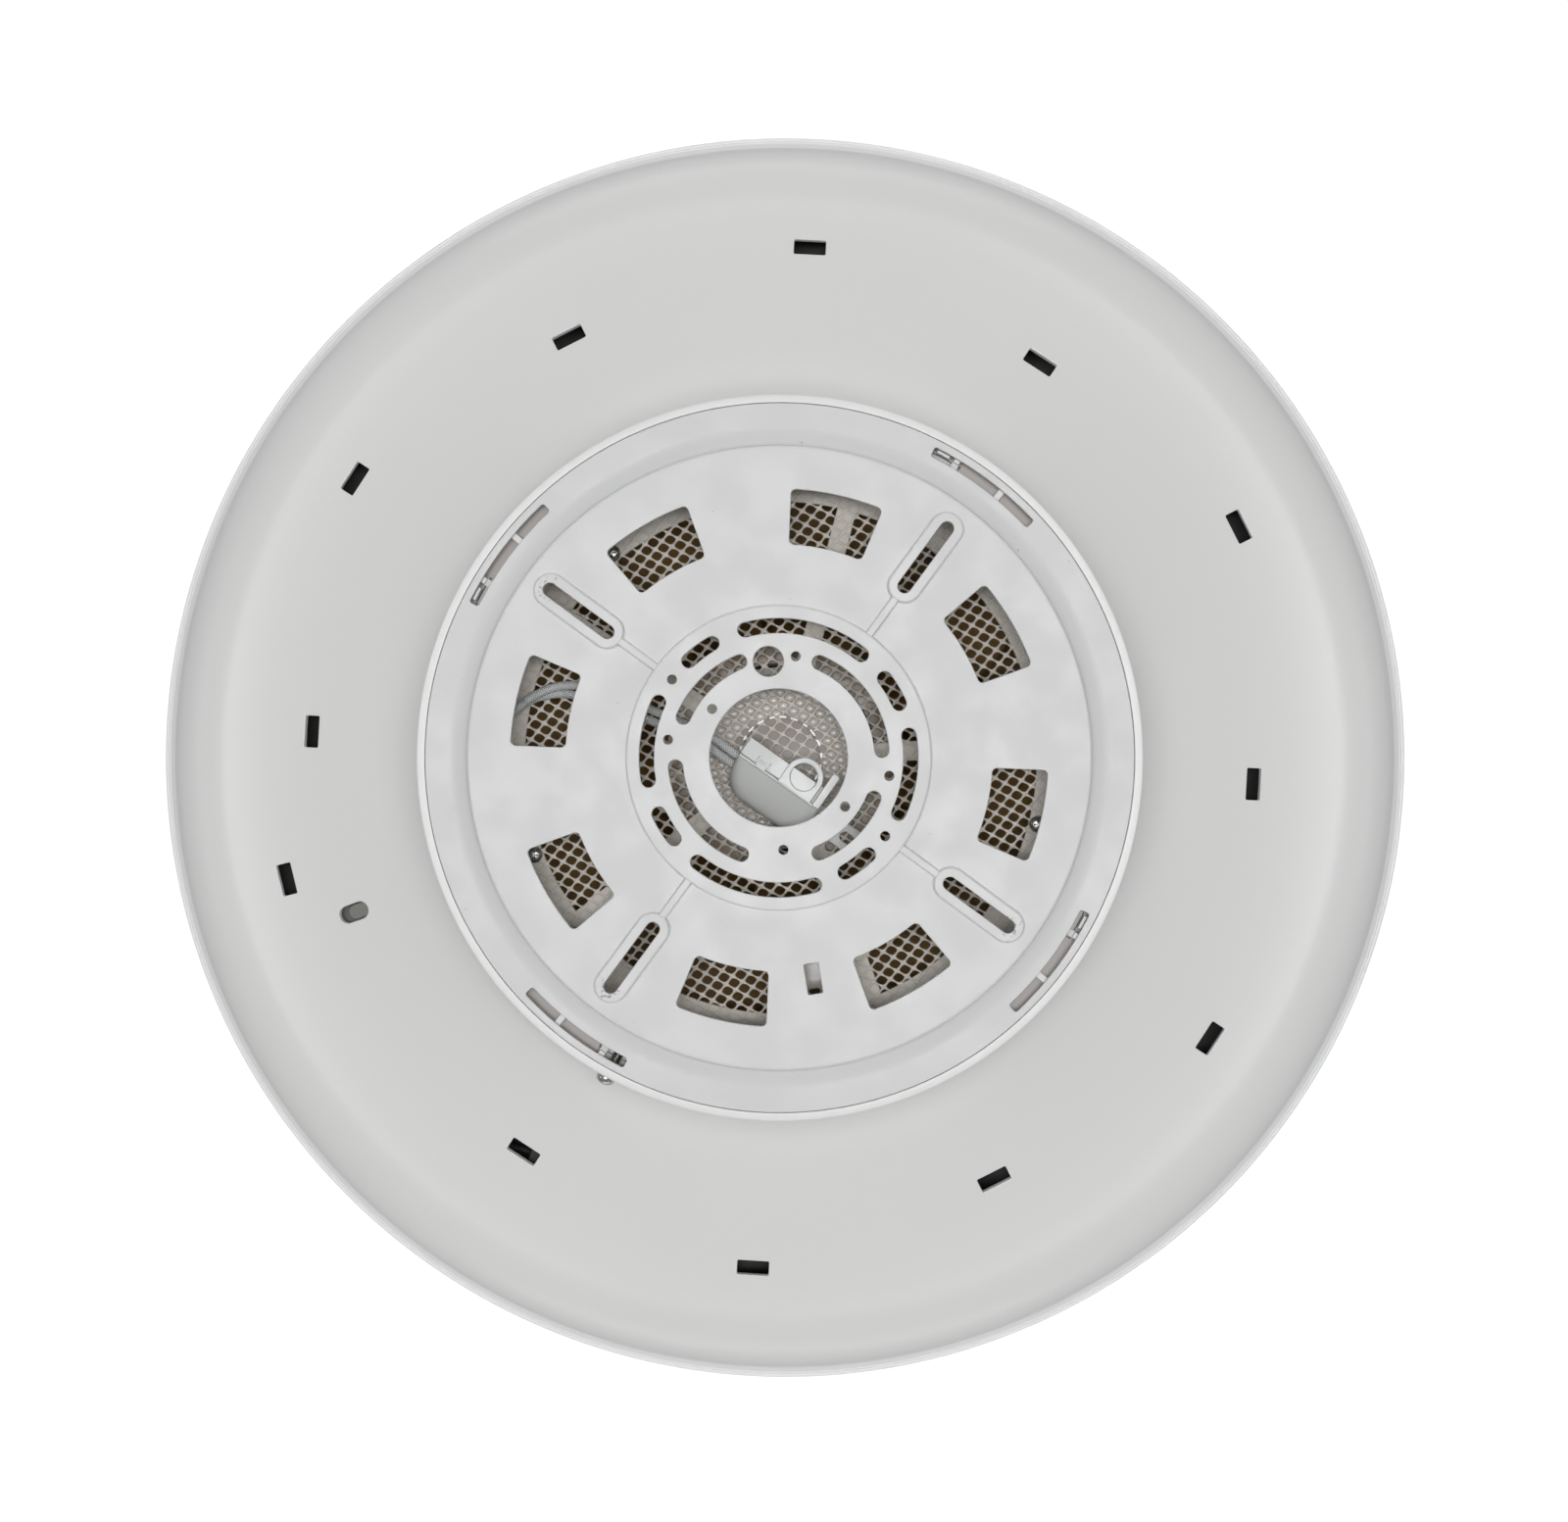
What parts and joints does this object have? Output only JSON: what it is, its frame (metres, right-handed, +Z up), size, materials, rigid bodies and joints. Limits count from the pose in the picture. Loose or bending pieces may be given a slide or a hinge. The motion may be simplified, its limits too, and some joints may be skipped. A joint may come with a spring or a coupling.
{
  "type": "ceiling fan light",
  "caption": "Flush ceiling fan light: a bell-shaped housing that twists onto a slotted ceiling plate, with an enclosed fan, a ring of light and a terminal box behind.",
  "frame": {"origin": "centre of the ceiling plate's upper face, which lies against the ceiling", "axes": "+Z up into the ceiling, along the fan's axis; +X and +Y across the ceiling"},
  "size_m": [0.45, 0.45, 0.112],
  "materials": {
    "white_plate": "satin white",
    "white_shell": "smooth white",
    "warm_white_plastic": "matte off-white",
    "white_plastic": "satin white",
    "diffuser_plastic": "milky",
    "brown_plastic": "smooth brown",
    "dark_plastic": "matte black",
    "grey_plastic": "matte grey",
    "steel": "bright zinc plated",
    "iron": "stacked sheet",
    "aluminium": "plain",
    "copper": "enamelled copper wire",
    "magnet": "matte dark grey",
    "circuit_board": "green solder mask",
    "lead_sleeve": "grey braid"
  },
  "bodies": {
    "ceiling_plate": {"mounting_plate": "white_plate"},
    "fixture": {"top_housing": "white_shell", "rear_guard": "warm_white_plastic", "fan_duct": "warm_white_plastic", "selector_body": "dark_plastic", "motor_base": "aluminium", "stator_core": "iron", "stator_windings": "copper", "motor_board": "circuit_board", "upper_bearing": "steel", "lower_bearing": "steel", "led_tray": "aluminium", "led_board": "circuit_board", "diffuser": "diffuser_plastic", "trim_ring": "white_shell", "front_guard": "white_plastic", "front_cap": "white_plastic", "receiver_window": "dark_plastic", "driver_case": "white_plastic", "driver_cover": "white_plastic", "driver_board": "circuit_board", "terminal_box": "white_plastic", "terminal_block": "warm_white_plastic", "supply_lead_1": "lead_sleeve", "supply_lead_2": "lead_sleeve", "motor_lead": "lead_sleeve", "light_lead": "lead_sleeve", "guard_screw_1": "steel", "guard_screw_2": "steel", "guard_screw_3": "steel", "guard_screw_4": "steel", "guard_screw_5": "steel", "motor_screw_1": "steel", "motor_screw_2": "steel", "motor_screw_3": "steel", "tray_screw_1": "steel", "tray_screw_2": "steel", "tray_screw_3": "steel", "tray_screw_4": "steel", "front_screw_1": "steel", "front_screw_2": "steel", "front_screw_3": "steel", "flange_screw_1": "steel", "flange_screw_2": "steel", "flange_screw_3": "steel", "terminal_screw_1": "steel", "terminal_screw_2": "steel", "terminal_screw_3": "steel"},
    "rotor": {"motor_shaft": "steel", "shaft_clip": "steel", "rotor_cup": "steel", "magnet_ring": "magnet", "impeller": "brown_plastic", "impeller_screw_1": "steel", "impeller_screw_2": "steel", "impeller_screw_3": "steel"},
    "selector": {"selector_knob": "grey_plastic"},
    "clamp_screw": {"lock_screw": "steel"},
    "box_lid": {"terminal_lid": "white_plastic"}
  },
  "joints": [
    {"name": "fixture_twist", "type": "hinge", "parent": "ceiling_plate", "child": "fixture", "pos_m": [0, 0, 0], "axis": [0, 0, 1], "range_deg": [-16, 0]},
    {"name": "rotor_spin", "type": "hinge", "parent": "fixture", "child": "rotor", "pos_m": [0, 0, -0.065], "axis": [0, 0, 1], "continuous": true},
    {"name": "selector_slide", "type": "slide", "parent": "fixture", "child": "selector", "axis": [-0.9403, -0.3404, 0], "range_m": [0, 0.0024]},
    {"name": "lock_screw_back_out", "type": "slide", "parent": "fixture", "child": "clamp_screw", "axis": [-0.4772, -0.8788, 0], "range_m": [0, 0.004]},
    {"name": "terminal_lid_open", "type": "hinge", "parent": "fixture", "child": "box_lid", "pos_m": [0.00017, 0.00025, -0.017], "axis": [-0.8192, 0.5736, 0], "range_deg": [0, 95]}
  ]
}
